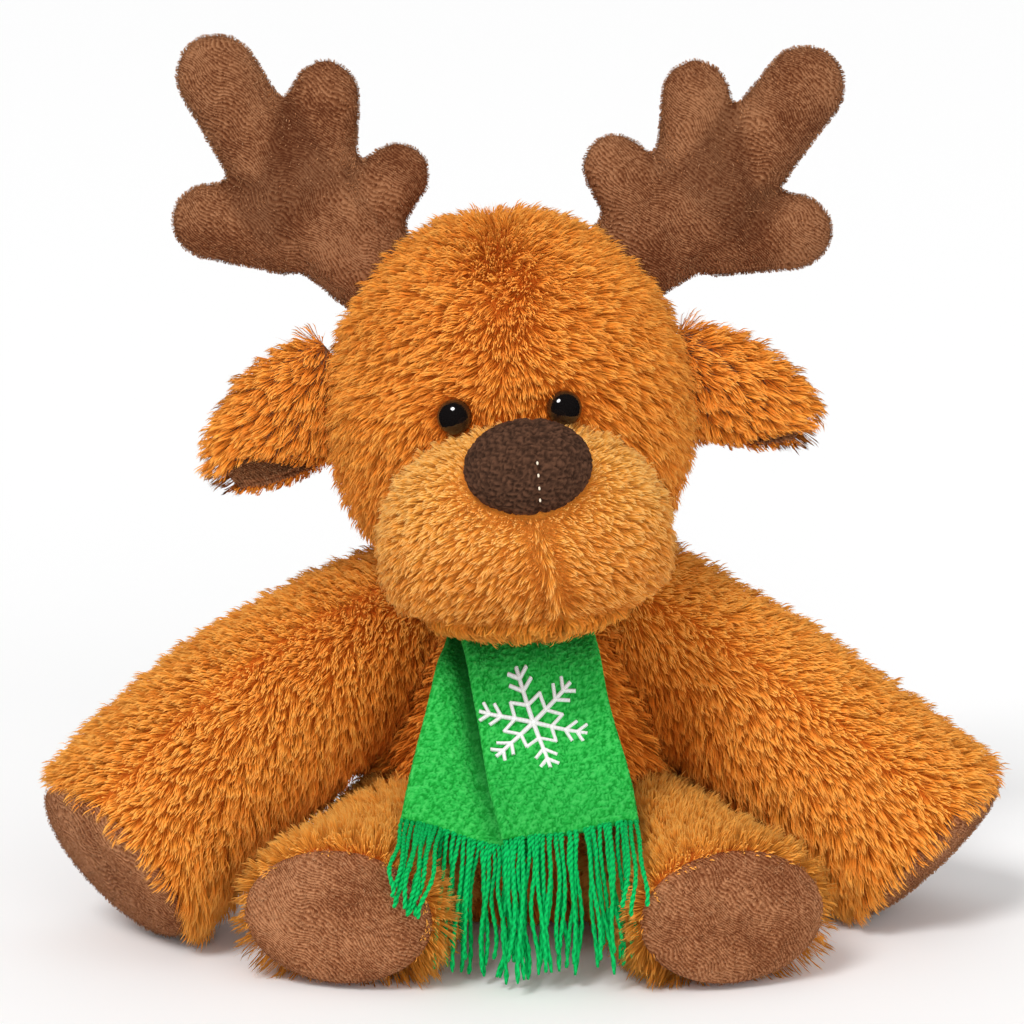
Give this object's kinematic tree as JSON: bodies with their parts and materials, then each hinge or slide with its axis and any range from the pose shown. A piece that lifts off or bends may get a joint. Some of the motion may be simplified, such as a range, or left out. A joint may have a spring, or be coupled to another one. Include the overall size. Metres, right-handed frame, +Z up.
{
  "type": "plush deer",
  "caption": "Sitting stuffed deer with padded antlers, hoof pads, safety eyes and a fringed scarf.",
  "frame": {"origin": "middle of the footprint, on the surface that the toy sits on", "axes": "+Z up, the face looks along -Y, +X to the viewer's right"},
  "size_m": [0.3808, 0.2588, 0.3543],
  "materials": {
    "orange_plush": "long pile plush",
    "pale_plush": "medium pile plush",
    "brown_pile": "short swirled pile",
    "dark_pile": "short fleece",
    "green_fleece": "fleece",
    "green_yarn": "twisted yarn",
    "white_thread": "satin stitch",
    "black_plastic": "polished",
    "clear_plastic": "moulded",
    "fibre": "loose fibre filling",
    "cotton_bag": "woven cotton"
  },
  "bodies": {
    "torso": {"torso_cover": "orange_plush", "torso_filling": "fibre", "pellet_bag": "cotton_bag", "scarf_collar": "green_fleece"},
    "tail": {"tail": "orange_plush"},
    "arm_left": {"arm_left_cover": "orange_plush", "arm_left_filling": "fibre", "arm_left_pad": "brown_pile"},
    "arm_right": {"arm_right_cover": "orange_plush", "arm_right_filling": "fibre", "arm_right_pad": "brown_pile"},
    "leg_left": {"leg_left_cover": "orange_plush", "leg_left_filling": "fibre", "leg_left_pad": "brown_pile"},
    "leg_right": {"leg_right_cover": "orange_plush", "leg_right_filling": "fibre", "leg_right_pad": "brown_pile"},
    "head": {"head_cover": "orange_plush", "head_filling": "fibre", "muzzle_cover": "pale_plush", "chin_cover": "orange_plush", "nose_cover": "dark_pile", "nose_filling": "fibre", "eye_left": "black_plastic", "eye_right": "black_plastic", "eye_washer_left": "clear_plastic", "eye_washer_right": "clear_plastic"},
    "antler_left": {"antler_left_cover": "brown_pile", "antler_left_filling": "fibre"},
    "antler_right": {"antler_right_cover": "brown_pile", "antler_right_filling": "fibre"},
    "ear_left": {"ear_left_back": "orange_plush", "ear_left_lining": "brown_pile"},
    "ear_right": {"ear_right_back": "orange_plush", "ear_right_lining": "brown_pile"},
    "scarf_tail_lower": {"scarf_tail_lower": "green_fleece", "fringe_lower": "green_yarn"},
    "scarf_tail_upper": {"scarf_tail_upper": "green_fleece", "fringe_upper": "green_yarn", "snowflake": "white_thread"}
  },
  "joints": [
    {"name": "head_turn", "type": "hinge", "parent": "torso", "child": "head", "pos_m": [-0.00148, 0.02895, 0.135], "axis": [0, 0, 1], "range_deg": [-20, 20], "stiffness_Nm_per_rad": 0.15},
    {"name": "arm_left_raise", "type": "hinge", "parent": "torso", "child": "arm_left", "pos_m": [-0.04948, 0.03495, 0.111], "axis": [-0.5715, 0.8206, 0], "range_deg": [0, 30]},
    {"name": "arm_right_raise", "type": "hinge", "parent": "torso", "child": "arm_right", "pos_m": [0.04652, 0.03495, 0.111], "axis": [-0.3285, -0.9445, 0], "range_deg": [0, 30]},
    {"name": "leg_left_splay", "type": "hinge", "parent": "torso", "child": "leg_left", "pos_m": [-0.04148, 0.01495, 0.0275], "axis": [0, 0, -1], "range_deg": [0, 12]},
    {"name": "leg_right_splay", "type": "hinge", "parent": "torso", "child": "leg_right", "pos_m": [0.03852, 0.01495, 0.0275], "axis": [0, 0, 1], "range_deg": [0, 12]},
    {"name": "tail_bend", "type": "hinge", "parent": "torso", "child": "tail", "pos_m": [-0.00148, 0.10159, 0.036], "axis": [1, 0, 0], "range_deg": [-20, 20], "stiffness_Nm_per_rad": 0.03},
    {"name": "antler_left_sway", "type": "hinge", "parent": "head", "child": "antler_left", "pos_m": [-0.06273, 0.01267, 0.24973], "axis": [0.0435, -0.999, 0.0034], "range_deg": [-6, 6], "stiffness_Nm_per_rad": 0.25},
    {"name": "antler_right_sway", "type": "hinge", "parent": "head", "child": "antler_right", "pos_m": [0.04132, 0.01721, 0.2519], "axis": [-0.0435, 0.999, -0.0034], "range_deg": [-6, 6], "stiffness_Nm_per_rad": 0.25},
    {"name": "ear_left_flap", "type": "hinge", "parent": "head", "child": "ear_left", "pos_m": [-0.07565, 0.00398, 0.2146], "axis": [-0.0435, 0.999, -0.0034], "range_deg": [-18, 10], "stiffness_Nm_per_rad": 0.08},
    {"name": "ear_right_flap", "type": "hinge", "parent": "head", "child": "ear_right", "pos_m": [0.06035, 0.00992, 0.21829], "axis": [0.0435, -0.999, 0.0034], "range_deg": [-18, 10], "stiffness_Nm_per_rad": 0.08},
    {"name": "scarf_lower_lift", "type": "hinge", "parent": "torso", "child": "scarf_tail_lower", "pos_m": [-0.00148, -0.01905, 0.117], "axis": [-1, 0, 0], "range_deg": [0, 12]},
    {"name": "scarf_upper_lift", "type": "hinge", "parent": "scarf_tail_lower", "child": "scarf_tail_upper", "pos_m": [-0.00148, -0.01905, 0.117], "axis": [-1, 0, 0], "range_deg": [0, 18]}
  ]
}
